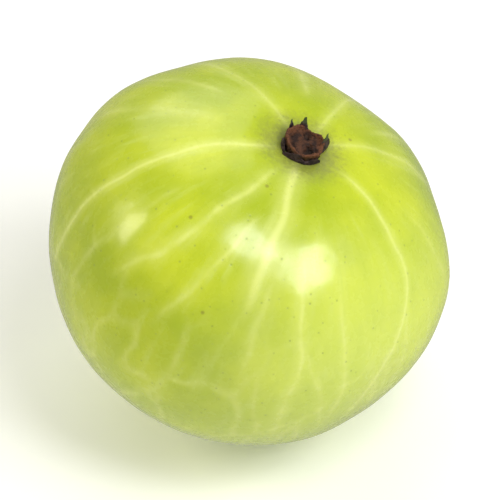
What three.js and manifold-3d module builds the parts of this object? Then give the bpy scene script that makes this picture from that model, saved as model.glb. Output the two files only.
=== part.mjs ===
// One whole Indian gooseberry (amla) lying on a surface as it comes to rest.
//
// The fruit is one solid: a squat berry with six shallow furrows that run from the stalk to the style end,
// a shallow dimple round the stalk and a blunt point at the style end. It leans on the flank of that point,
// where a small flat spot carries it. The stub of the stalk stands in the dimple with six dried sepals round
// its foot, and the dried remnant of the style is left at the point.
//
// Millimetres, +Z up. The origin is at the centre of the part's footprint, on the surface that it rests on.

import * as THREE from "three";
import { ParametricGeometry } from "three/addons/geometries/ParametricGeometry.js";
import { mergeVertices } from "three/addons/utils/BufferGeometryUtils.js";
import Module from "manifold-3d";

const wasm = await Module();
wasm.setup();

// ---- Driving dimensions ----

const fruitRadius = 19; // 38 mm across the widest section
const shoulderRise = 0.747 * fruitRadius; // from the widest section up to the shoulder
const bellyDrop = 0.947 * fruitRadius; // from the widest section down to the style end
const shoulderPower = 2.25; // above 2 squares the shoulder a little

const dimpleDepth = 0.85;
const dimpleRadius = 4.2;
const pointDrop = 0.62; // how far the style end is drawn out
const pointRadius = 4.4;

const furrowAngles = [14, 62, 126, 194, 255, 317]; // degrees round the fruit's axis
const furrowDepth = 0.03; // share of the radius
const furrowHalfWidth = 15; // degrees
const furrowDeepestAt = 60; // degrees down from the stalk
const furrowReach = 43; // degrees from there to where a furrow has mostly faded

const leanAngle = 20.7; // the fruit's axis from upright
const leanToward = -11; // compass direction of the lean, degrees from +X
const flatSpotDepth = 0.25; // how much of the flank the flat spot takes off

const stubRadius = 1.95;
const stubHeight = 1.75;
const stubRecessRadius = 1.15;
const stubRecessDepth = 0.7;
const seatGap = 0.06; // keeps touching pieces just apart

const sepalWidth = 1.0;
const sepalThickness = 0.26;
const sepals = [
  // round the axis, length, and how far it bends outwards from standing upright
  { angle: 4, length: 1.9, spread: 24 },
  { angle: 72, length: 1.8, spread: 22 },
  { angle: 124, length: 1.5, spread: 28 },
  { angle: 186, length: 0.9, spread: 52 },
  { angle: 250, length: 1.1, spread: 62 },
  { angle: 308, length: 0.9, spread: 56 },
];

const styleRadius = 0.6;
const styleLength = 0.4;

const fruitSlices = 84;
const fruitStacks = 34;
const smallSegments = 28;

// ---- Materials ----

const skin = new THREE.MeshStandardMaterial({ color: 0xb9cd3c, roughness: 0.28, metalness: 0 });
const stalkBark = new THREE.MeshStandardMaterial({ color: 0x6d4426, roughness: 0.8, metalness: 0 });
const driedSepal = new THREE.MeshStandardMaterial({ color: 0x352a2c, roughness: 0.85, metalness: 0 });
const driedStyle = new THREE.MeshStandardMaterial({ color: 0x4a2f1c, roughness: 0.85, metalness: 0 });

// ---- The fruit's surface ----

const radians = THREE.MathUtils.degToRad;

// 1 on the floor of a furrow, falling smoothly to 0 between furrows.
function furrowAt(angle) {
  let depth = 0;
  for (const furrow of furrowAngles) {
    const away = THREE.MathUtils.euclideanModulo(angle - radians(furrow) + Math.PI, 2 * Math.PI) - Math.PI;
    depth += Math.exp(-((away / radians(furrowHalfWidth)) ** 2));
  }
  return depth;
}

// Distance from the axis and height above the widest section, with no furrows; down runs from 0 at the
// stalk to pi at the style end.
function profileAt(down) {
  const across = Math.max(0, Math.sin(down));
  const along = Math.abs(Math.cos(down));
  if (down <= Math.PI / 2) {
    const radius = fruitRadius * across ** (2 / shoulderPower);
    const dimple = dimpleDepth * Math.exp(-((radius / dimpleRadius) ** 2));
    return { radius, height: shoulderRise * along ** (2 / shoulderPower) - dimple };
  }
  const radius = fruitRadius * across;
  return { radius, height: -bellyDrop * along - pointDrop * Math.exp(-radius / pointRadius) };
}

function fruitPoint(down, angle, target) {
  const { radius, height } = profileAt(down);
  const fade = Math.exp(-(((down - radians(furrowDeepestAt)) / radians(furrowReach)) ** 2));
  const lobed = radius * (1 - furrowDepth * fade * furrowAt(angle));
  return target.set(lobed * Math.cos(angle), lobed * Math.sin(angle), height);
}

// ---- Solids from geometries ----

function toSolid(geometry) {
  const bare = new THREE.BufferGeometry().setAttribute("position", geometry.getAttribute("position"));
  if (geometry.index) bare.setIndex(geometry.index);
  const merged = mergeVertices(bare, 1e-4);
  return new wasm.Manifold(
    new wasm.Mesh({
      numProp: 3,
      vertProperties: new Float32Array(merged.attributes.position.array),
      triVerts: new Uint32Array(merged.index.array),
    }),
  );
}

function toGeometry(solid) {
  const { vertProperties, triVerts } = solid.getMesh();
  const geometry = new THREE.BufferGeometry();
  geometry.setAttribute("position", new THREE.BufferAttribute(vertProperties, 3));
  geometry.setIndex(new THREE.BufferAttribute(triVerts, 1));
  return geometry;
}

// ---- Fruit ----

const uprightFruit = new ParametricGeometry(
  (s, t, target) => fruitPoint((1 - t) * Math.PI, s * 2 * Math.PI, target),
  fruitSlices,
  fruitStacks,
);

const up = new THREE.Vector3(0, 0, 1);
const axis = new THREE.Vector3(
  Math.sin(radians(leanAngle)) * Math.cos(radians(leanToward)),
  Math.sin(radians(leanAngle)) * Math.sin(radians(leanToward)),
  Math.cos(radians(leanAngle)),
);
const lean = new THREE.Quaternion().setFromUnitVectors(up, axis);

const leaningFruit = uprightFruit.clone().applyQuaternion(lean);
leaningFruit.computeBoundingBox();
const fruitBox = leaningFruit.boundingBox;
const floorLevel = fruitBox.min.z + flatSpotDepth;

// The flat spot is where the surface that the fruit rests on cuts its flank.
const belowFloor = new THREE.BoxGeometry(4 * fruitRadius, 4 * fruitRadius, fruitRadius);
belowFloor.translate(0, 0, floorLevel - fruitRadius / 2);
const fruit = new THREE.Mesh(toGeometry(toSolid(leaningFruit).subtract(toSolid(belowFloor))), skin);
fruit.name = "fruit";

// ---- Stalk stub ----

const seatHeight = profileAt(0).height + seatGap; // just above the bottom of the dimple

// How high the dimple's wall stands above its bottom, at a distance from the axis.
function dimpleWall(radius) {
  return dimpleDepth * (1 - Math.exp(-((radius / dimpleRadius) ** 2)));
}

const stubProfile = [
  [0, 0],
  [0.6 * stubRadius, dimpleWall(0.6 * stubRadius)],
  [stubRadius, dimpleWall(stubRadius)],
  [0.93 * stubRadius, 0.45 * stubHeight],
  [1.0 * stubRadius, 0.85 * stubHeight],
  [0.92 * stubRadius, stubHeight],
  [1.1 * stubRecessRadius, stubHeight],
  [stubRecessRadius, stubHeight - 0.6 * stubRecessDepth],
  [0.5 * stubRecessRadius, stubHeight - stubRecessDepth],
  [0, stubHeight - 0.8 * stubRecessDepth],
].map(([x, y]) => new THREE.Vector2(x, y));

const stub = new THREE.Mesh(new THREE.LatheGeometry(stubProfile, smallSegments), stalkBark);
stub.name = "stalk_stub";
stub.geometry.rotateX(Math.PI / 2);
stub.position.z = seatHeight;

// ---- Sepals ----

// A pointed blade standing on the XY plane, its flat side towards the axis.
function sepalGeometry(length) {
  const half = sepalWidth / 2;
  const outline = new THREE.Shape();
  outline.moveTo(-0.8 * half, 0);
  outline.quadraticCurveTo(-1.3 * half, 0.45 * length, 0, length);
  outline.quadraticCurveTo(1.3 * half, 0.45 * length, 0.8 * half, 0);
  outline.closePath();
  const blade = new THREE.ExtrudeGeometry(outline, {
    depth: sepalThickness,
    bevelEnabled: false,
    curveSegments: 7,
  });
  // The outline is drawn in XY: stand it up, and turn its thickness along +X, away from the axis.
  return blade.rotateX(Math.PI / 2).rotateZ(Math.PI / 2);
}

const sepalRing = new THREE.Group();
const sepalFoot = stubRadius + 0.25;
sepals.forEach(({ angle, length, spread }, index) => {
  const sepal = new THREE.Mesh(sepalGeometry(length), driedSepal);
  sepal.name = `sepal_${index + 1}`;
  sepal.rotation.y = radians(spread);
  const footHeight = seatHeight + dimpleWall(sepalFoot + sepalThickness) + Math.sin(radians(spread)) * 0.3;
  sepal.position.set(sepalFoot, 0, footHeight);
  const around = new THREE.Group();
  around.rotation.z = radians(angle);
  around.add(sepal);
  sepalRing.add(around);
});

// ---- Style remnant ----

const styleProfile = [
  [0, 0],
  [styleRadius, -0.25 * styleLength],
  [0.62 * styleRadius, -0.7 * styleLength],
  [0.3 * styleRadius, -styleLength],
  [0, -styleLength],
].map(([x, y]) => new THREE.Vector2(x, y));

const style = new THREE.Mesh(new THREE.LatheGeometry(styleProfile.reverse(), smallSegments / 2), driedStyle);
style.name = "style_remnant";
style.geometry.rotateX(Math.PI / 2);
style.position.z = profileAt(Math.PI).height - seatGap;

// ---- The part ----

const leaning = new THREE.Group();
leaning.quaternion.copy(lean);
leaning.add(stub, sepalRing, style);

const gooseberry = new THREE.Group();
gooseberry.name = "indian_gooseberry";
gooseberry.add(fruit, leaning);
gooseberry.position.set(
  -(fruitBox.min.x + fruitBox.max.x) / 2,
  -(fruitBox.min.y + fruitBox.max.y) / 2,
  -floorLevel,
);

export default gooseberry;
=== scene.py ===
# %% [markdown]
# # An Indian gooseberry (amla), from primitives to a ripe fruit
#
# The fruit is a squat, glossy, yellow-green berry, 38 mm across. It leans on the flank of its blunt style
# end, with the woody stub of its stalk turned up towards the viewer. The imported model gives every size
# and place; this file makes the looks: the lobed skin with its pale stripes, the ragged stub, the dried
# sepals, the light.

# %% Open the frame
import math

import bmesh
import bpy
from mathutils import Matrix, Vector


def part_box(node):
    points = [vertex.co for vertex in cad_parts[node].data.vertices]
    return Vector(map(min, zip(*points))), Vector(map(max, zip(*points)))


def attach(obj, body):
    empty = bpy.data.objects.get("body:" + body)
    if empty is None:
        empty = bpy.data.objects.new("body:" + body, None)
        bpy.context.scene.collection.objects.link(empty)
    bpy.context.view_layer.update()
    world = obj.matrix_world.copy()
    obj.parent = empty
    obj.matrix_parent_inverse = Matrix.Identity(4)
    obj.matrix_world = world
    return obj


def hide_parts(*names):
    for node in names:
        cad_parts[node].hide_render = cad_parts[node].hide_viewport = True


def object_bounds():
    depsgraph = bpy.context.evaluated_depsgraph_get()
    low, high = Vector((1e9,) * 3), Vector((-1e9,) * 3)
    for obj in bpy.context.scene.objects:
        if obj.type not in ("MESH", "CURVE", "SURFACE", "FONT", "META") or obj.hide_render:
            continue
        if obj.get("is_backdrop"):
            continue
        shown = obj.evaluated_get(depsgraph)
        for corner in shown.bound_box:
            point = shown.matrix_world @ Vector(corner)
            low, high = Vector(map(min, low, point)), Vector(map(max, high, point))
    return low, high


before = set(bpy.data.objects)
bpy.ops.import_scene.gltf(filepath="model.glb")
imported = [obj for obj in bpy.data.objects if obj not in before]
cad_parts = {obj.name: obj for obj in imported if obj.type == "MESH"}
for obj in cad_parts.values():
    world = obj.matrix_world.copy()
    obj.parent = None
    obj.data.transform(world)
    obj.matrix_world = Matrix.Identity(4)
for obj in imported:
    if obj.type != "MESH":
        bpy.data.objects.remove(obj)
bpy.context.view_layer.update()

scene = bpy.context.scene
scene.view_settings.view_transform = "Standard"
mm = 0.001

# %% [markdown]
# ## How the fruit lies
#
# The stalk stub and the style remnant sit at the two ends of the fruit's axis, so the line through the
# middles of their boxes is that axis. Each piece is modelled upright, on the Z axis, and is turned to
# this lean when it is finished. Modelling upright keeps every step simple: a ring of the fruit is a level
# ring of points.

# %% Find the fruit's axis
def middle_of(node):
    low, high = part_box(node)
    return (low + high) / 2


axis = (middle_of("stalk_stub") - middle_of("style_remnant")).normalized()
lean = Vector((0, 0, 1)).rotation_difference(axis)
print("axis", [round(part, 3) for part in axis], "lean", round(math.degrees(lean.angle), 1), "degrees")

# %% [markdown]
# ## Working in edit mode from a script
#
# An operator works on whatever is selected, as it does for a person at the screen. These helpers do what
# the hand does: click a piece, choose points or faces by where they are, and apply a finished modifier. A
# new primitive comes selected all over, so every step starts by clearing the selection.

# %% Helpers for selecting and shaping
def make_active(piece):
    if bpy.context.mode != "OBJECT":
        bpy.ops.object.mode_set(mode="OBJECT")
    bpy.ops.object.select_all(action="DESELECT")
    piece.select_set(True)
    bpy.context.view_layer.objects.active = piece


def edit(piece):
    make_active(piece)
    bpy.ops.object.mode_set(mode="EDIT")


def pick_points(piece, wanted):
    bpy.ops.mesh.select_mode(type="VERT")
    bpy.ops.mesh.select_all(action="DESELECT")
    mesh = bmesh.from_edit_mesh(piece.data)
    for point in mesh.verts:
        point.select = wanted(point.co)
    mesh.select_flush_mode()
    bmesh.update_edit_mesh(piece.data)


def pick_faces(piece, wanted):
    bpy.ops.mesh.select_mode(type="FACE")
    bpy.ops.mesh.select_all(action="DESELECT")
    mesh = bmesh.from_edit_mesh(piece.data)
    for face in mesh.faces:
        face.select = wanted(face.calc_center_median(), face.normal)
    mesh.select_flush_mode()
    bmesh.update_edit_mesh(piece.data)


def cut_across(height):
    bpy.ops.mesh.select_all(action="SELECT")
    bpy.ops.mesh.bisect(plane_co=(0, 0, height), plane_no=(0, 0, 1), threshold=1e-6)


soft_edit = {"use_proportional_edit": True, "proportional_edit_falloff": "SMOOTH"}


def swell(distance, reach):
    """Moves the selected points, and softly those within reach."""
    bpy.ops.transform.translate(value=distance, proportional_size=reach, **soft_edit)


def squeeze(scale, reach):
    """Scales the selected points about the middle, and softly those within reach."""
    bpy.ops.transform.resize(value=scale, center_override=(0, 0, 0), proportional_size=reach, **soft_edit)


def subdivide(piece, levels):
    make_active(piece)
    smoother = piece.modifiers.new("smoother", "SUBSURF")
    smoother.levels = levels
    smoother.render_levels = levels
    bpy.ops.object.modifier_apply(modifier=smoother.name)


def roughen(piece, grain, height):
    """Pushes the surface in and out along its normals by a cloudy pattern of this grain size."""
    make_active(piece)
    pattern = bpy.data.textures.new(f"{piece.name}_grain", "CLOUDS")
    pattern.noise_scale = grain
    bumps = piece.modifiers.new("bumps", "DISPLACE")
    bumps.texture = pattern
    bumps.texture_coords = "LOCAL"
    bumps.strength = height
    bumps.mid_level = 0.5
    bpy.ops.object.modifier_apply(modifier=bumps.name)


def settle(piece, place):
    """Moves a finished piece to its place, with the place in the mesh and its object at the origin."""
    make_active(piece)
    piece.matrix_world = place @ piece.matrix_world
    bpy.ops.object.transform_apply(location=True, rotation=True, scale=True)
    bpy.ops.object.shade_smooth()


def count(piece):
    return sum(len(face.vertices) - 2 for face in piece.data.polygons)


# %% [markdown]
# ## The fruit's outline
#
# An amla is wider than it is tall. Above its widest section the shoulder is a little square and sinks to
# a shallow dimple round the stalk; below, it is rounder and ends in a blunt point. A sculpted ball could
# get there by eye, but the outline is a simple curve, so it is written as one: for any angle down from
# the stalk it gives the distance from the axis and the height.

# %% The outline as a formula
fruit_radius = 19 * mm
shoulder_rise = 0.747 * fruit_radius
belly_drop = 0.947 * fruit_radius
shoulder_power = 2.25
dimple_depth = 0.85 * mm
dimple_radius = 4.2 * mm
point_drop = 0.62 * mm
point_radius = 4.4 * mm
flat_spot_depth = 0.25 * mm


def outline(down):
    across = max(0.0, math.sin(down))
    along = abs(math.cos(down))
    if down <= math.pi / 2:
        radius = fruit_radius * across ** (2 / shoulder_power)
        dimple = dimple_depth * math.exp(-((radius / dimple_radius) ** 2))
        return radius, shoulder_rise * along ** (2 / shoulder_power) - dimple
    radius = fruit_radius * across
    return radius, -belly_drop * along - point_drop * math.exp(-radius / point_radius)


print("height", round((outline(0)[1] - outline(math.pi)[1]) / mm, 1), "mm")

# %% [markdown]
# ## From a ball to the outline
#
# A ball made of rings and segments already has its points in level rings. Each ring is picked by its
# height, scaled out from the axis and moved up or down until it lies on the outline. Working from the
# widest ring outwards means that no ring that has been moved is picked again.

# %% Shape the ball, ring by ring
segments = 144
rings = 72
bpy.ops.object.select_all(action="DESELECT")
bpy.ops.mesh.primitive_uv_sphere_add(segments=segments, ring_count=rings, radius=fruit_radius)
fruit = bpy.context.object
fruit.name = "amla_skin"
edit(fruit)
near = 0.01 * mm
for step in range(rings // 2 + 1):
    for ring in {rings // 2 - step, rings // 2 + step}:
        down = math.pi * ring / rings
        height = fruit_radius * math.cos(down)
        new_radius, new_height = outline(down)
        pick_points(fruit, lambda co: abs(co.z - height) < near)
        if 0 < ring < rings:
            wider = new_radius / (fruit_radius * math.sin(down))
            bpy.ops.transform.resize(value=(wider, wider, 1), center_override=(0, 0, height))
        bpy.ops.transform.translate(value=(0, 0, new_height - height))
print("fruit", len(fruit.data.vertices), "points after the outline")

# %% [markdown]
# ## The furrows
#
# Six shallow furrows run down from the stalk and fade out below the middle, one for each half of the
# three seed chambers. Each is pressed in as a thumb would press it: the points along one line from stalk
# to style are drawn towards the axis with soft falloff to both sides. Three strokes over ever shorter
# stretches of the line make the furrow deepest just above the middle and let it fade out at its ends.

# %% Press in the furrows
furrow_angles = [14, 62, 126, 194, 255, 317]
deepest_furrow = 62
crease_angles = [36, 92, 160, 228, 284, 340]


def angle_of(co):
    return math.degrees(math.atan2(co.y, co.x))


def down_of(co):
    half_height = shoulder_rise if co.z > 0 else belly_drop
    return math.degrees(math.atan2(math.hypot(co.x, co.y) / fruit_radius, co.z / half_height))


def turn_between(first, second):
    return abs((first - second + 180) % 360 - 180)


def press_line(angle, first, last, share, reach):
    spacing = 360 / segments

    def on_line(co):
        return turn_between(angle_of(co), angle) <= 0.55 * spacing and first <= down_of(co) <= last

    pick_points(fruit, on_line)
    squeeze((1 - share, 1 - share, 1), reach)


plain_stroke = 0.0105  # how far a stroke draws the line in, as a share of its distance from the axis
deep_stroke = 0.015
crease_stroke = 0.004
furrow_reach = 8.2 * mm
crease_reach = 3.4 * mm
stretches = [(18, 108), (30, 92), (42, 76)]  # from and to, in degrees down
for angle in furrow_angles:
    stroke = deep_stroke if angle == deepest_furrow else plain_stroke
    for first, last in stretches:
        press_line(angle, first, last, stroke, furrow_reach)
for angle in crease_angles:
    press_line(angle, 22, 84, crease_stroke, crease_reach)
print("furrows", furrow_angles, "creases", crease_angles)

# %% [markdown]
# ## Skin that is not quite even
#
# A real fruit swells a little more here than there. One Subdivision level makes the facets vanish, and
# two Displace patterns, one as broad as a thumb and one as fine as the pores, take away the perfect curve
# that would make it look like moulded plastic.

# %% Smooth and swell the fruit
subdivide(fruit, 1)
roughen(fruit, 11 * mm, 0.42 * mm)
roughen(fruit, 1.3 * mm, 0.03 * mm)
print("fruit", count(fruit), "triangles")

# %% [markdown]
# ## Lying down
#
# The fruit is turned to its lean and moved so that it fills the place that the frame holds for it. Where
# the surface meets its flank the real skin flattens, so the last sliver is cut off level and closed.

# %% Lean the fruit and flatten its resting spot
fruit_low, fruit_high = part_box("fruit")
leaned = lean.to_matrix().to_4x4()
corners = [leaned @ point.co for point in fruit.data.vertices]
low = Vector([min(corner[side] for corner in corners) for side in range(3)])
high = Vector([max(corner[side] for corner in corners) for side in range(3)])
fruit_centre = (fruit_low + fruit_high) / 2 - (low + high) / 2
fruit_centre.z = fruit_low.z - flat_spot_depth - low.z
place = Matrix.Translation(fruit_centre) @ leaned
settle(fruit, place)
edit(fruit)
bpy.ops.mesh.select_all(action="SELECT")
bpy.ops.mesh.bisect(
    plane_co=(0, 0, fruit_low.z), plane_no=(0, 0, 1), use_fill=True, clear_inner=True, threshold=1e-6
)
bpy.ops.object.mode_set(mode="OBJECT")
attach(fruit, "root")
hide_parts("fruit")
print("fruit centre", [round(part / mm, 2) for part in fruit_centre], "mm")

# %% [markdown]
# ## Writing shader maths as plain sums
#
# The skin's pattern is arithmetic on angles: how far round, how far down, how near to a stripe. Wiring
# that by hand takes hundreds of Math nodes. This small class wraps one socket, so that `a * b + 1` adds
# the nodes it needs, and one method, `node`, adds any other kind.

# %% A socket that can be added, multiplied and compared
class Finish:
    """One material under construction."""

    def __init__(self, name):
        self.material = bpy.data.materials.new(name)
        self.material.use_nodes = True
        self.tree = self.material.node_tree
        self.tree.nodes.clear()

    def node(self, kind, settings=None, sockets=None, output=0):
        made = self.tree.nodes.new(kind)
        for name, value in (settings or {}).items():
            setattr(made, name, value)
        for name, value in (sockets or {}).items():
            if isinstance(value, Socket):
                self.tree.links.new(value.socket, made.inputs[name])
            else:
                made.inputs[name].default_value = value
        return Socket(self, made.outputs[output] if made.outputs else None, made)

    def mix(self, share, first, second):
        return self.node("ShaderNodeMix", {"data_type": "RGBA"}, {0: share, 6: first, 7: second}, output=2)

    def ramp_up(self, value, start, end):
        """0 below start, 1 above end, smooth between."""
        sockets = {0: value, 1: start, 2: end}
        return self.node("ShaderNodeMapRange", {"interpolation_type": "SMOOTHSTEP"}, sockets)

    def noise(self, vector, scale, detail=2.0, roughness=0.5):
        sockets = {"Vector": vector, "Scale": scale, "Detail": detail, "Roughness": roughness}
        return self.node("ShaderNodeTexNoise", {}, sockets)


class Socket:
    """A value that varies over the surface."""

    def __init__(self, finish, socket, made):
        self.finish = finish
        self.socket = socket
        self.made = made

    def out(self, name):
        return Socket(self.finish, self.made.outputs[name], self.made)

    def maths(self, operation, *values):
        return self.finish.node("ShaderNodeMath", {"operation": operation}, dict(enumerate(values)))

    def __add__(self, other):
        return self.maths("ADD", self, other)

    def __sub__(self, other):
        return self.maths("SUBTRACT", self, other)

    def __mul__(self, other):
        return self.maths("MULTIPLY", self, other)

    def __truediv__(self, other):
        return self.maths("DIVIDE", self, other)

    def __rsub__(self, other):
        return self.maths("SUBTRACT", other, self)

    __radd__ = __add__
    __rmul__ = __mul__

    def __abs__(self):
        return self.maths("ABSOLUTE", self)

    def at_most(self, other):
        return self.maths("MINIMUM", self, other)

    def at_least(self, other):
        return self.maths("MAXIMUM", self, other)

    def root(self):
        return self.maths("SQRT", self)

    def degrees_from(self, other):
        """The angle whose tangent is this value over the other."""
        return self.maths("ARCTAN2", self, other) * (180 / math.pi)

    def half_turn(self):
        """An angle in degrees, brought between -180 and 180."""
        return self.maths("WRAP", self, 180.0, -180.0)


def colour(red, green, blue):
    """A screen colour, 0 to 255, as the linear colour that a shader takes."""
    linear = [(part / 255) ** 2.2 for part in (red, green, blue)]
    return (*linear, 1.0)


print("shader helpers ready")

# %% [markdown]
# ## Where on the fruit a point is
#
# The stripes run from stalk to style, so the skin needs two readings at each point: the angle round the
# axis, and the angle down from the stalk. A Mapping node of type Texture undoes the lean and the move,
# which gives the point as it was when the fruit stood upright at the origin, here in millimetres.

# %% The skin's coordinates
def stand_up(finish):
    """The place of a point as it was when the fruit stood upright at the origin, in millimetres."""
    sockets = {
        "Vector": finish.node("ShaderNodeTexCoord", output="Object"),
        "Location": fruit_centre,
        "Rotation": lean.to_euler(),
        "Scale": (mm, mm, mm),
    }
    return finish.node("ShaderNodeMapping", {"vector_type": "TEXTURE"}, sockets)


def split_up(finish, place):
    parts = finish.node("ShaderNodeSeparateXYZ", {}, {0: place})
    return parts.out("X"), parts.out("Y"), parts.out("Z")


skin = Finish("amla_skin_waxy")
upright = stand_up(skin)
x, y, z = split_up(skin, upright)
reach = (x * x + y * y).root()
around = y.degrees_from(x)
half_heights = z.at_least(0.0) / (shoulder_rise / mm) + z.at_most(0.0) / (belly_drop / mm)
down = (reach / (fruit_radius / mm)).degrees_from(half_heights)
print("skin reads the angle round and the angle down")

# %% [markdown]
# ## Pale stripes under the skin
#
# Bundles of fibre run just under the translucent skin and show as pale lines: strong ones along the
# furrows, fainter ones between them that fork and wander. A stripe is drawn where the distance round to
# its line is small. Each is a width in millimetres and an angle that drifts as it goes down, and a slow
# noise makes its course and its strength waver, so no two look ruled.

# %% Draw the stripes
wander = (skin.noise(upright, 0.15, 1.5) - 0.5) * 9.0
flicker = skin.ramp_up(skin.noise(upright, 0.42, 2.0), 0.3, 0.64)
core_width = 0.55  # as shares of a stripe's width
glow_width = 1.9
core_share = 0.55  # of its strength


def stripe(top_angle, low_angle, first, last, width, strength):
    """A thin bright core in a wide soft glow, along a line from stalk to style."""
    course = (down - first) * ((low_angle - top_angle) / (last - first)) + top_angle + wander
    distance = abs((around - course).half_turn()) * reach * (math.pi / 180)
    core = 1 - skin.ramp_up(distance, 0.0, core_width * width)
    glow = 1 - skin.ramp_up(distance, 0.0, glow_width * width)
    begins = skin.ramp_up(down, first - 5, first + 5)
    ends = 1 - skin.ramp_up(down, last - 14, last + 8)
    return (core * core_share + glow * (1 - core_share)) * begins * ends * strength


main_stripes = [
    # angle at the top and at the bottom, from and to in degrees down, half width in mm, strength
    (25, 11, 9, 92, 0.6, 0.55),
    (62, 60, 8, 96, 0.6, 0.6),
    (121, 130, 8, 84, 0.65, 0.55),
    (194, 194, 10, 104, 0.55, 0.9),
    (258, 260, 6, 60, 1.2, 0.95),
    (334, 304, 14, 104, 0.5, 0.75),
]
faint_stripes = [
    (170, 160, 26, 74, 1.5, 0.42),
    (236, 221, 14, 74, 0.85, 0.8),
    (247, 238, 32, 78, 0.7, 0.6),
    (264, 266, 46, 82, 0.9, 0.5),
    (274, 285, 40, 112, 0.62, 0.7),
    (280, 297, 68, 104, 0.5, 0.5),
    (292, 297, 44, 100, 0.6, 0.55),
    (320, 322, 56, 108, 0.55, 0.35),
    (345, 346, 36, 84, 0.8, 0.35),
    (38, 34, 30, 100, 0.8, 0.5),
    (86, 92, 24, 96, 0.7, 0.6),
    (104, 108, 48, 112, 0.6, 0.5),
    (144, 150, 30, 104, 0.7, 0.55),
    (212, 208, 40, 90, 0.6, 0.35),
]


def brightest(values):
    top = values[0]
    for value in values[1:]:
        top = top.at_least(value)
    return top


strong_lines = brightest([stripe(*numbers) for numbers in main_stripes])
faint_lines = brightest([stripe(*numbers) for numbers in faint_stripes]) * (0.45 + 0.55 * flicker)
lines = strong_lines.at_least(faint_lines)
print("stripes", len(main_stripes), "strong and", len(faint_stripes), "faint")

# %% [markdown]
# ## A net of fine veins, pores and specks
#
# Below the middle the bundles branch into a loose net. The edges between the cells of a Voronoi pattern
# make such a net, once its cells are stretched from stalk to style: the pattern is read on a drum whose
# height is the angle down, so it closes on itself all the way round. A small quick Voronoi gives the
# pores, and a sparse one the few brown specks that every picked fruit has.

# %% Draw the net, the pores and the specks
round_x = x / reach.at_least(0.01)
round_y = y / reach.at_least(0.01)


def on_drum(radius, rise, warp):
    """The place on a drum of this radius, where each degree down is a step of this rise."""
    sockets = {0: round_x * radius + warp, 1: round_y * radius + warp, 2: down * rise + warp}
    return skin.node("ShaderNodeCombineXYZ", {}, sockets)


def cells_of(place, scale, feature="F1"):
    return skin.node("ShaderNodeTexVoronoi", {"feature": feature}, {"Vector": place, "Scale": scale})


def chosen(cells, start, end):
    """Picks some of the cells, by the red in the colour that each cell has at random."""
    return skin.ramp_up(skin.node("ShaderNodeSeparateColor", {}, {0: cells.out("Color")}), start, end)


net_place = on_drum(2.9, 0.022, skin.noise(upright, 0.22, 0.5) * 0.6)
net_edges = cells_of(net_place, 1.25, "DISTANCE_TO_EDGE")
net = (1 - skin.ramp_up(net_edges, 0.0, 0.1)) * skin.ramp_up(down, 52, 100) * (0.2 + 0.8 * flicker)
fibre_place = on_drum(15, 0.045, 0.0)
fibres = 0.5 + (skin.noise(fibre_place, 1.0, 3.0, 0.6) - 0.5) * skin.ramp_up(reach, 4.0, 10.0)
pore_cells = cells_of(upright, 1.15)
pores = (1 - skin.ramp_up(pore_cells, 0.04, 0.2)) * chosen(pore_cells, 0.35, 0.75)
speck_cells = cells_of(upright, 0.34)
specks = (1 - skin.ramp_up(speck_cells, 0.03, 0.09)) * chosen(speck_cells, 0.5, 0.6)
print("net, pores and specks drawn")

# %% [markdown]
# ## The colour of the skin
#
# Ripe amla is yellow-green, clouded here and there with a deeper green. The side facing one direction,
# low on the fruit, and the style end are painted paler: painted bounce light from the pale floor. How far
# a point faces that side is the dot product of its place with that direction. Close to the stalk the skin
# greys to olive with a fine dark speckle. The stripes go on last, over everything but the pores.

# %% Mix the skin's colour
leaf_green = colour(171, 190, 20)
ripe_green = colour(206, 218, 44)
pale_green = colour(212, 226, 120)
stripe_cream = colour(242, 248, 152)
stalk_olive = colour(124, 128, 70)
pore_green = colour(120, 140, 30)
speck_brown = colour(104, 84, 34)

clouds = skin.ramp_up(skin.noise(upright, 0.09, 3.0, 0.55), 0.28, 0.7)
tint = skin.mix(clouds, leaf_green, ripe_green)
tint = skin.mix(skin.ramp_up(fibres, 0.5, 0.75) * 0.34, tint, pale_green)
tint = skin.mix(skin.ramp_up(1 - fibres, 0.5, 0.75) * 0.3, tint, leaf_green)
# Painted bounce light from the pale floor: the skin facing this direction is painted paler.
bounce_side_around = math.radians(308)
bounce_side_down = math.radians(88)
bounce_side_direction = (
    math.sin(bounce_side_down) * math.cos(bounce_side_around),
    math.sin(bounce_side_down) * math.sin(bounce_side_around),
    math.cos(bounce_side_down),
)
facing = skin.node(
    "ShaderNodeVectorMath", {"operation": "DOT_PRODUCT"}, {0: upright, 1: bounce_side_direction}, output="Value"
)
# Painted bounce light: how much paler the skin is painted on that side.
painted_bounce_side = skin.ramp_up(facing / (fruit_radius / mm), 0.3, 1.05)
tint = skin.mix(painted_bounce_side * 0.6, tint, pale_green)
# Painted bounce light: the style end, which faces the floor, is painted paler too.
tint = skin.mix(skin.ramp_up(down, 84, 140) * 0.6, tint, pale_green)
tint = skin.mix(net * 0.3, tint, stripe_cream)
tint = skin.mix(lines * 0.7, tint, stripe_cream)
speckle = skin.noise(upright, 2.6, 3.0, 0.7)
halo = (1 - skin.ramp_up(reach + speckle * 3.8, 3.4, 7.2)) * skin.ramp_up(z, 0.0, 5.0)
tint = skin.mix(halo * 0.8, tint, stalk_olive)
tint = skin.mix(pores * 0.45, tint, pore_green)
tint = skin.mix(specks * 0.45, tint, speck_brown)
print("skin colour mixed")

# %% [markdown]
# ## The shader
#
# Amla skin is waxy and a little see-through. Subsurface scattering lets light travel a few millimetres in
# the flesh and softens the shading, a thin coat gives the wet-looking highlight, and bump from the pores,
# the grain and the stripes breaks the highlight's edge.

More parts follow.
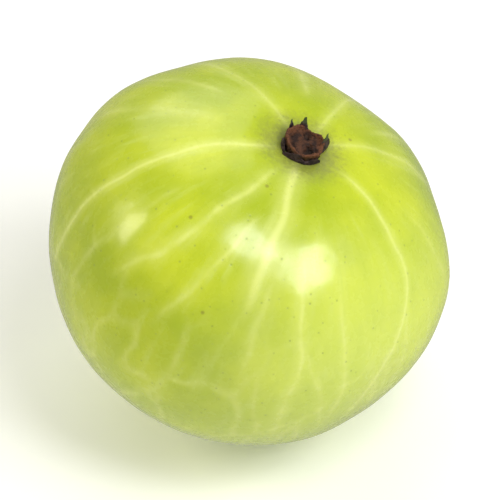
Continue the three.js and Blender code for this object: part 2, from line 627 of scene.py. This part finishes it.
# %% Put the skin's shader together
grain = skin.noise(upright, 1.7, 4.0, 0.6)
height = grain * 0.05 + fibres * 0.07 - pores * 0.25 + lines * 0.10 + net * 0.05
bump = skin.node("ShaderNodeBump", {}, {"Strength": 0.34, "Distance": 0.2 * mm, "Height": height})
gloss = skin.noise(upright, 1.0, 3.0) * 0.2 + 0.17 + pores * 0.3
skin_shader = skin.node(
    "ShaderNodeBsdfPrincipled",
    {"subsurface_method": "RANDOM_WALK"},
    {
        "Base Color": tint,
        "Roughness": gloss,
        "Normal": bump,
        "IOR": 1.45,
        "Subsurface Weight": 0.45,
        "Subsurface Radius": (1.0, 1.0, 0.35),
        "Subsurface Scale": 1.6 * mm,
        "Specular IOR Level": 0.6,
        "Coat Weight": 0.45,
        "Coat Roughness": 0.14,
    },
)
skin.node("ShaderNodeOutputMaterial", {}, {"Surface": skin_shader})
fruit.data.materials.clear()
fruit.data.materials.append(skin.material)
print("skin shader", len(skin.tree.nodes), "nodes")

# %% [markdown]
# ## The stalk's stub
#
# When the fruit drops, a short woody ring stays in the dimple, with a ragged hollow where the stalk tore
# out. It starts as a short drum. Its top is inset to leave a rim, then inset and pushed down again and
# again for the hollow. The rim and the hollow's floor are then pulled up and down in a few places,
# because torn wood is never level, and two Displace patterns crumble what is left.

# %% Model the stub
seat = outline(0)[1]
stub_radius = 1.85 * mm
stub_height = 1.35 * mm

bpy.ops.object.select_all(action="DESELECT")
bpy.ops.mesh.primitive_cylinder_add(
    vertices=32, radius=stub_radius, depth=stub_height, location=(0, 0, seat + stub_height / 2)
)
stub = bpy.context.object
stub.name = "amla_stalk_stub"
bpy.ops.object.transform_apply(location=True, rotation=True, scale=True)
stub_top = seat + stub_height
edit(stub)
hollow_steps = [
    # inset, then up: millimetres
    (0.22, 0.0),
    (0.12, -0.24),
    (0.12, -0.12),
    (0.45, 0.06),
    (0.40, 0.0),
]
pick_faces(stub, lambda co, normal: normal.z > 0.9 and math.hypot(co.x, co.y) < 0.1 * mm)
for inset_mm, up in hollow_steps:
    bpy.ops.mesh.inset(thickness=inset_mm * mm)
    bpy.ops.transform.translate(value=(0, 0, up * mm))
for share in (0.3, 0.62, 0.9):
    cut_across(seat + share * stub_height)
pick_points(stub, lambda co: abs(co.z - seat - 0.3 * stub_height) < near)
bpy.ops.transform.resize(value=(0.92, 0.92, 1), center_override=(0, 0, seat))
pick_points(stub, lambda co: abs(co.z - seat) < near)
bpy.ops.transform.resize(value=(1.06, 1.06, 1), center_override=(0, 0, seat))
print("stub", len(stub.data.polygons), "faces before the tearing")

# %% Tear the rim
rim_pulls = [
    # angle round, outwards, up, reach: millimetres
    (20, 0.10, 0.20, 0.9),
    (70, -0.05, -0.20, 0.7),
    (118, 0.05, 0.22, 0.9),
    (165, 0.12, 0.10, 0.8),
    (214, -0.10, -0.16, 0.8),
    (262, 0.10, -0.26, 0.9),
    (300, 0.16, 0.10, 0.7),
    (340, -0.06, -0.16, 0.7),
]
for angle, outwards, up, reach_mm in rim_pulls:
    way_out = Vector((math.cos(math.radians(angle)), math.sin(math.radians(angle)), 0))
    spot = stub_radius * way_out + Vector((0, 0, stub_top))
    pick_points(stub, lambda co: (co - spot).length < 0.25 * mm)
    swell(outwards * mm * way_out + Vector((0, 0, up * mm)), reach_mm * mm)
hollow_lumps = [
    # angle round, distance out, up, reach: millimetres
    (306, 0.80, -0.80, 0.68),
    (70, 0.80, -0.50, 0.42),
    (215, 0.85, 0.26, 0.50),
    (145, 0.90, 0.22, 0.40),
    (10, 0.95, 0.24, 0.35),
    (250, 0.45, 0.30, 0.30),
]
for angle, out, up, reach_mm in hollow_lumps:
    spot = out * mm * Vector((math.cos(math.radians(angle)), math.sin(math.radians(angle))))
    pick_points(stub, lambda co: (co.xy - spot).length < 0.22 * mm and co.z > seat + 0.5 * stub_height)
    swell((0, 0, up * mm), reach_mm * mm)
subdivide(stub, 3)
roughen(stub, 0.6 * mm, 0.36 * mm)
roughen(stub, 0.2 * mm, 0.14 * mm)
settle(stub, place)
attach(stub, "root")
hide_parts("stalk_stub")
print("stub", count(stub), "triangles")

# %% [markdown]
# ## The dried sepals
#
# Six sepals stood round the flower. By now they are black and shrivelled: two or three still point up
# like little thorns, the rest lie flat against the stub. One is modelled from a cone, pressed flat,
# bellied and bent back at the tip; the others are copies, each stretched, turned and spread to suit its
# place.

# %% Model one sepal
sepal_length = 2.0 * mm
bpy.ops.object.select_all(action="DESELECT")
bpy.ops.mesh.primitive_cone_add(
    vertices=12, radius1=0.5 * mm, radius2=0.05 * mm, depth=sepal_length, location=(0, 0, sepal_length / 2)
)
first_sepal = bpy.context.object
first_sepal.name = "amla_sepal_pattern"
bpy.ops.object.transform_apply(location=True, rotation=True, scale=True)
edit(first_sepal)
for share in (0.15, 0.32, 0.5, 0.68, 0.84):
    cut_across(share * sepal_length)
bpy.ops.mesh.select_all(action="SELECT")
bpy.ops.transform.resize(value=(0.36, 1.0, 1.0), center_override=(0, 0, 0))
for share, wider in ((0.15, 1.12), (0.32, 1.2), (0.5, 1.02), (0.68, 0.78), (0.84, 0.66)):
    pick_points(first_sepal, lambda co: abs(co.z - share * sepal_length) < near)
    bpy.ops.transform.resize(value=(1.0, wider, 1.0), center_override=(0, 0, 0))
pick_points(first_sepal, lambda co: co.z > 0.95 * sepal_length)
swell((0.28 * mm, 0.08 * mm, 0), 1.3 * mm)
pick_points(first_sepal, lambda co: abs(co.y) < 0.1 * mm and 0.1 < co.z / sepal_length < 0.6)
swell((0.12 * mm, 0, 0), 0.4 * mm)
subdivide(first_sepal, 2)
roughen(first_sepal, 0.45 * mm, 0.2 * mm)
roughen(first_sepal, 0.15 * mm, 0.06 * mm)
print("sepal", count(first_sepal), "triangles")

# %% Copy the sepal round the stub
sepal_looks = [
    # node, angle round, distance out in mm, stretch along, stretch across, spread and twist in degrees
    ("sepal_1", 16, 2.25, 1.25, 2.3, -18, -52),
    ("sepal_2", 96, 1.72, 1.15, 1.9, 0, -10),
    ("sepal_3", 130, 1.8, 1.0, 1.6, 6, 14),
    ("sepal_4", 190, 1.76, 0.55, 2.1, 0, -8),
    ("sepal_5", 246, 1.74, 0.58, 2.5, 0, 8),
    ("sepal_6", 304, 1.76, 0.5, 2.2, 0, -8),
]
sepals = []
for node, angle, foot, along, across, spread, twist in sepal_looks:
    copy = first_sepal.copy()
    copy.data = first_sepal.data.copy()
    copy.name = f"amla_{node}"
    scene.collection.objects.link(copy)
    stand = (
        Matrix.Rotation(math.radians(angle), 4, "Z")
        @ Matrix.Translation((foot * mm, 0, seat + 0.08 * mm))
        @ Matrix.Rotation(math.radians(spread), 4, "Y")
        @ Matrix.Rotation(math.radians(twist), 4, "Z")
        @ Matrix.Diagonal((1, across, along, 1))
    )
    settle(copy, place @ stand)
    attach(copy, "root")
    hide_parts(node)
    sepals.append(copy)
bpy.data.objects.remove(first_sepal)
print("sepals", len(sepals))

# %% [markdown]
# ## The style's remnant
#
# At the fruit's blunt point a crumb of the dried style is left. It is a squat cone, pinched and crumbled.
# It hides under the leaning fruit, but anyone who picks the fruit up finds it.

# %% Model the style remnant
style_top = outline(math.pi)[1]
bpy.ops.object.select_all(action="DESELECT")
bpy.ops.mesh.primitive_cone_add(
    vertices=16,
    radius1=0.2 * mm,
    radius2=0.6 * mm,
    depth=0.36 * mm,
    location=(0, 0, style_top - 0.13 * mm),
)
style = bpy.context.object
style.name = "amla_style_remnant"
bpy.ops.object.transform_apply(location=True, rotation=True, scale=True)
edit(style)
cut_across(style_top - 0.08 * mm)
cut_across(style_top - 0.2 * mm)
pick_points(style, lambda co: abs(co.z - style_top + 0.2 * mm) < near)
bpy.ops.transform.resize(value=(0.8, 1.05, 1), center_override=(0, 0, style_top))
subdivide(style, 2)
roughen(style, 0.3 * mm, 0.1 * mm)
settle(style, place)
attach(style, "root")
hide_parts("style_remnant")
print("style remnant", count(style), "triangles")

# %% [markdown]
# ## Wood and dry tissue
#
# All the dry parts share one recipe: a dark colour and a lighter one mixed by a fine noise, duller where
# it is darker, with strong bump. The stub is warm brown, with painted shade darkening its foot and its
# hollow and painted light on the top of its rim; the sepals are nearly black with a trace of green left
# at their tips, and the style remnant dark brown.

# %% Make the dry finishes
def dry_finish(name, grain_scale, paint):
    """A rough, mottled finish; paint gives the colour from the finish, the place and the mottle."""
    finish = Finish(name)
    place_on = stand_up(finish)
    mottle = finish.noise(place_on, grain_scale, 4.0, 0.65)
    fine = finish.noise(place_on, 4 * grain_scale, 3.0, 0.6)
    relief = mottle * 0.6 + fine * 0.4
    bump = finish.node("ShaderNodeBump", {}, {"Strength": 0.8, "Distance": 0.08 * mm, "Height": relief})
    sockets = {
        "Base Color": paint(finish, place_on, mottle, fine),
        "Roughness": 0.85 - mottle * 0.25,
        "Normal": bump,
        "Specular IOR Level": 0.3,
    }
    shader = finish.node("ShaderNodeBsdfPrincipled", {}, sockets)
    finish.node("ShaderNodeOutputMaterial", {}, {"Surface": shader})
    return finish.material


seat_level = seat / mm
stub_level = stub_top / mm


def paint_bark(finish, place_on, mottle, fine):
    x, y, level = split_up(finish, place_on)
    out = (x * x + y * y).root() + (mottle - 0.5) * 0.6
    shade = finish.mix(finish.ramp_up(mottle, 0.4, 0.6), colour(49, 33, 27), colour(90, 57, 38))
    # Painted light: the top of the rim is painted a lighter brown, where the light catches it.
    painted_rim_light = finish.ramp_up(level, stub_level - 0.45, stub_level - 0.05) * finish.ramp_up(out, 1.1, 1.5)
    shade = finish.mix(painted_rim_light * (0.15 + 0.7 * finish.ramp_up(fine, 0.4, 0.62)), shade, colour(126, 79, 50))
    # Painted shade: the sunken hollow of the stub is painted nearly black.
    sunk = 1 - finish.ramp_up(level, stub_level - 0.8, stub_level - 0.3)
    painted_hollow_shade = (1 - finish.ramp_up(out, 1.0, 1.5)) * sunk
    shade = finish.mix(painted_hollow_shade * 0.92, shade, colour(42, 34, 34))
    # Painted shade: the foot of the stub, where it meets the skin, is painted dark.
    foot = 1 - finish.ramp_up(level, seat_level + 0.4, seat_level + 1.2)
    shade = finish.mix(foot * 0.85, shade, colour(44, 33, 24))
    return finish.mix(finish.ramp_up(fine, 0.45, 0.75) * 0.55, shade, colour(48, 32, 27))


def paint_sepal(finish, place_on, mottle, fine):
    level = split_up(finish, place_on)[2]
    shade = finish.mix(finish.ramp_up(mottle, 0.4, 0.62), colour(42, 32, 32), colour(76, 60, 62))
    tip = finish.ramp_up(level, seat_level + 1.45, seat_level + 2.1)
    return finish.mix(tip * 0.7, shade, colour(84, 104, 52))


def paint_crumb(finish, place_on, mottle, fine):
    return finish.mix(finish.ramp_up(mottle, 0.4, 0.62), colour(46, 30, 20), colour(88, 58, 34))


bark = dry_finish("stalk_bark_torn", 1.6, paint_bark)
dried = dry_finish("sepal_dried_black", 2.2, paint_sepal)
crumb = dry_finish("style_dried_brown", 2.0, paint_crumb)
for piece, finish in [(stub, bark), (style, crumb)] + [(sepal, dried) for sepal in sepals]:
    piece.data.materials.clear()
    piece.data.materials.append(finish)
print("dry finishes", bark.name, dried.name, crumb.name)

# %% [markdown]
# ## Floor and light
#
# The fruit lies on a plain pale floor. Two soft boxes in front, one to the right and low, one above, give
# the two broad highlights; a small warm light at the left gives the third. A wide panel behind brightens
# the far edge, and a pale sky fills the shadows. The floor lights the fruit from below but is kept out of
# its reflections, so that the edges keep their green.

# %% Lay the floor and set the lights
bpy.ops.object.select_all(action="DESELECT")
bpy.ops.mesh.primitive_plane_add(size=6, location=(0, 0, fruit_low.z - 0.01 * mm))
floor = bpy.context.object
floor.name = "floor"
bpy.ops.object.transform_apply(location=True, rotation=True, scale=True)
paper = Finish("floor_paper_white")
paper_place = paper.node("ShaderNodeTexCoord", output="Object")
paper_tint = paper.mix(paper.noise(paper_place, 90.0, 3.0), (0.9, 0.9, 0.91, 1), (0.93, 0.93, 0.94, 1))
paper_shader = paper.node(
    "ShaderNodeBsdfPrincipled",
    {},
    {"Base Color": paper_tint, "Roughness": 0.9, "Emission Color": (1, 1, 1, 1), "Emission Strength": 0.14},
)
paper.node("ShaderNodeOutputMaterial", {}, {"Surface": paper_shader})
floor.data.materials.append(paper.material)
floor.visible_glossy = False
floor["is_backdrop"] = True


def soft_box(name, direction, distance, width, height, power, tint):
    light = bpy.data.lights.new(name, "AREA")
    light.shape = "ELLIPSE"
    light.size = width
    light.size_y = height
    light.energy = power
    light.color = tint
    box = bpy.data.objects.new(name, light)
    scene.collection.objects.link(box)
    towards = Vector(direction).normalized()
    box.location = fruit_centre + towards * distance
    box.rotation_euler = towards.to_track_quat("Z", "Y").to_euler()
    box.visible_camera = False


daylight = (1.0, 1.0, 0.98)
warm_light = (1.0, 0.93, 0.62)
white_light = (1.0, 1.0, 1.0)
# name, direction, distance, width and height in metres, power in watts, colour
soft_box("light_right", (0.70, -0.35, 0.74), 0.34, 0.23, 0.13, 0.58, daylight)
soft_box("light_above", (0.27, -0.34, 0.90), 0.34, 0.10, 0.13, 0.28, daylight)
soft_box("light_left", (-0.85, 0.03, 0.54), 0.34, 0.08, 0.18, 0.29, warm_light)
soft_box("light_back", (-0.08, 0.66, 0.74), 0.42, 0.40, 0.40, 0.45, white_light)

world = bpy.data.worlds.new("studio")
scene.world = world
world.use_nodes = True
sky = world.node_tree.nodes["Background"]
sky.inputs["Color"].default_value = (1.0, 1.0, 1.0, 1.0)
sky.inputs["Strength"].default_value = 0.37
print("lights set")

# %% [markdown]
# ## The camera
#
# A long lens looks down on the fruit at 42 degrees, straight at its middle. The long lens keeps the
# outline close to a drawing's, with hardly any swelling of what is near.

# %% Set the camera
lens = 400
sensor = 36
frame_width = 46.6 * mm
elevation = math.radians(42)
backwards = Vector((0, -math.cos(elevation), math.sin(elevation)))
camera_data = bpy.data.cameras.new("camera")
camera_data.lens = lens
camera_data.sensor_width = sensor
camera_data.clip_start = 0.01
camera_data.clip_end = 20
camera = bpy.data.objects.new("camera", camera_data)
scene.collection.objects.link(camera)
upwards = Vector((0, math.sin(elevation), math.cos(elevation)))
aim_drop = 0.45 * mm
aim = fruit_centre - upwards * aim_drop
camera.location = aim + backwards * (frame_width * lens / sensor)
camera.rotation_euler = backwards.to_track_quat("Z", "Y").to_euler()
scene.camera = camera
print("camera", [round(part, 3) for part in camera.location], "m")

# %% Write the sizes and finish
low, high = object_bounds()
print("visual", [round(side / mm, 1) for side in high - low], "mm")
